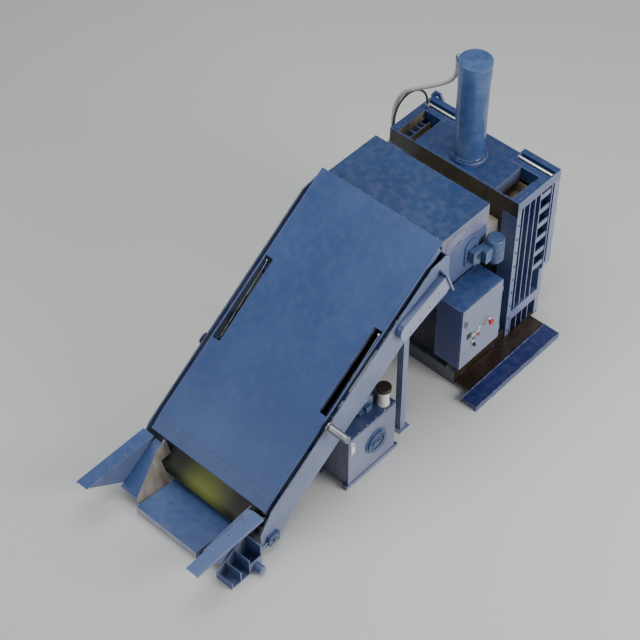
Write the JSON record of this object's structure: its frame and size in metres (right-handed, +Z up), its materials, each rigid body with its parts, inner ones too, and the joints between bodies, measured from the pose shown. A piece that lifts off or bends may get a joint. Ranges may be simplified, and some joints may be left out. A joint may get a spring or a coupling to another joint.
{
  "type": "conveyor-fed vertical baling press",
  "caption": "Vertical hydraulic baling press fed by an inclined, hooded belt conveyor, with a power unit and a control cabinet.",
  "frame": {"origin": "on the floor, under the axis of the press ram", "axes": "+Z up, +X from the loading hopper to the press, -Y the operator's side with the control cabinet"},
  "size_m": [4.909, 2.304, 3],
  "materials": {
    "press_paint": "semi-gloss",
    "hood_paint": "semi-gloss",
    "frame_paint": "semi-gloss",
    "cabinet_paint": "semi-gloss",
    "cream_paint": "semi-gloss",
    "chrome": "polished",
    "steel": "brushed",
    "oily_steel": "oily",
    "belt_rubber": "matte",
    "hose_cover": "braided",
    "black_rubber": "matte",
    "motor_paint": "painted",
    "white_plastic": "gloss",
    "dark_plastic": "matte",
    "red_plastic": "gloss",
    "green_plastic": "gloss",
    "clear_gauge": "gloss"
  },
  "bodies": {
    "frame": {"base_frame": "press_paint", "skids": "press_paint", "oil_trays": "oily_steel", "chamber_side_near": "press_paint", "chamber_side_far": "press_paint", "head_frame": "press_paint", "centre_head_plate": "press_paint", "rear_channels": "press_paint", "tie_rods": "chrome", "lifting_lug": "press_paint", "chamber_back_panel": "press_paint", "chamber_front_panel": "press_paint", "door_hinges": "press_paint", "cylinder_flange": "press_paint", "flange_bolts": "steel", "cylinder_barrel": "press_paint", "head_housing": "hood_paint", "head_side_plates": "frame_paint", "drum_bearings": "motor_paint", "feed_chute": "cream_paint", "conveyor_side_near": "frame_paint", "conveyor_side_far": "frame_paint", "lifting_stubs": "steel", "slider_bed": "frame_paint", "belt": "belt_rubber", "gear_motor": "motor_paint", "cable_duct": "hood_paint", "support_posts": "frame_paint", "hood_hinge_rod": "steel", "hopper_floor": "hood_paint", "hopper_sides": "cream_paint", "wings": "hood_paint", "tail_guard": "frame_paint", "cabinet_box": "cabinet_paint", "hydraulic_tank": "frame_paint", "tank_cover": "frame_paint", "sight_gauge": "clear_gauge", "return_filter": "white_plastic", "pump_motor": "motor_paint", "valve_block": "steel", "pressure_hose": "hose_cover", "pilot_hose": "black_rubber", "hose_fittings": "steel"},
    "ram": {"piston_rod": "chrome", "platen": "cream_paint"},
    "door": {"bale_door": "press_paint"},
    "latch": {"door_latch": "steel"},
    "head_drum": {"head_drum": "steel"},
    "tail_drum": {"tail_drum": "steel"},
    "return_roller": {"return_roller": "steel"},
    "hood": {"hood_lid": "hood_paint"},
    "strut_bodies": {"strut_bodies": "dark_plastic"},
    "strut_rods": {"strut_rods": "chrome"},
    "cabinet_door": {"cabinet_door": "cabinet_paint"},
    "door_lock": {"door_lock": "steel"},
    "start_button": {"start_button": "green_plastic"},
    "stop_button": {"stop_button": "red_plastic"},
    "estop_button": {"estop_button": "red_plastic"},
    "selector_switch": {"selector_switch": "dark_plastic"},
    "filter_cap": {"filter_cap": "dark_plastic"}
  },
  "joints": [
    {"name": "ram_stroke", "type": "slide", "parent": "frame", "child": "ram", "axis": [0, 0, -1], "range_m": [0, 0.85]},
    {"name": "door_swing", "type": "hinge", "parent": "frame", "child": "door", "pos_m": [0.342, 0.655, 0.3], "axis": [0, 0, 1], "range_deg": [0, 115]},
    {"name": "latch_turn", "type": "hinge", "parent": "door", "child": "latch", "pos_m": [0.3, -0.52, 0.305], "axis": [-1, 0, 0], "range_deg": [0, 90]},
    {"name": "head_drum_spin", "type": "hinge", "parent": "frame", "child": "head_drum", "pos_m": [-0.777, 0, 1.6], "axis": [0, 1, 0], "continuous": true},
    {"name": "tail_drum_spin", "type": "hinge", "parent": "frame", "child": "tail_drum", "pos_m": [-3.56, 0, 0.125], "axis": [0, 1, 0], "continuous": true},
    {"name": "return_roller_spin", "type": "hinge", "parent": "frame", "child": "return_roller", "pos_m": [-1.7, 0, 1.39], "axis": [0, 1, 0], "continuous": true},
    {"name": "hood_swing", "type": "hinge", "parent": "frame", "child": "hood", "pos_m": [-1.25075, 0, 2.06546], "axis": [0, 1, 0], "range_deg": [0, 36]},
    {"name": "strut_tilt", "type": "hinge", "parent": "frame", "child": "strut_bodies", "pos_m": [-2.69423, 0, 0.97152], "axis": [0, -1, 0], "range_deg": [0, 28]},
    {"name": "strut_extension", "type": "slide", "parent": "strut_bodies", "child": "strut_rods", "axis": [0.7759, 0, 0.6309], "range_m": [0, 0.36]},
    {"name": "cabinet_door_swing", "type": "hinge", "parent": "frame", "child": "cabinet_door", "pos_m": [-0.661, -0.993, 1], "axis": [0, 0, 1], "range_deg": [0, 110]},
    {"name": "door_lock_turn", "type": "hinge", "parent": "cabinet_door", "child": "door_lock", "pos_m": [-1.2, -1, 1.19], "axis": [0, 1, 0], "range_deg": [0, 90]},
    {"name": "start_button_press", "type": "slide", "parent": "cabinet_door", "child": "start_button", "axis": [0, 1, 0], "range_m": [0, 0.005], "stiffness_N_per_m": 300},
    {"name": "stop_button_press", "type": "slide", "parent": "cabinet_door", "child": "stop_button", "axis": [0, 1, 0], "range_m": [0, 0.005], "stiffness_N_per_m": 300},
    {"name": "estop_button_press", "type": "slide", "parent": "cabinet_door", "child": "estop_button", "axis": [0, 1, 0], "range_m": [0, 0.008], "stiffness_N_per_m": 500},
    {"name": "selector_turn", "type": "hinge", "parent": "cabinet_door", "child": "selector_switch", "pos_m": [-1.06, -1, 0.82], "axis": [0, 1, 0], "range_deg": [-45, 45]},
    {"name": "filter_cap_turn", "type": "hinge", "parent": "frame", "child": "filter_cap", "pos_m": [-2.062, -0.775, 0.878], "axis": [0, 0, 1], "range_deg": [0, 90]}
  ],
  "couplings": [
    {"joint": "tail_drum_spin", "follows": "head_drum_spin", "ratio": 1},
    {"joint": "return_roller_spin", "follows": "head_drum_spin", "ratio": -2.2088},
    {"joint": "strut_tilt", "follows": "hood_swing", "ratio": 0.768},
    {"joint": "strut_extension", "follows": "hood_swing", "m_per_rad": 0.5704}
  ]
}
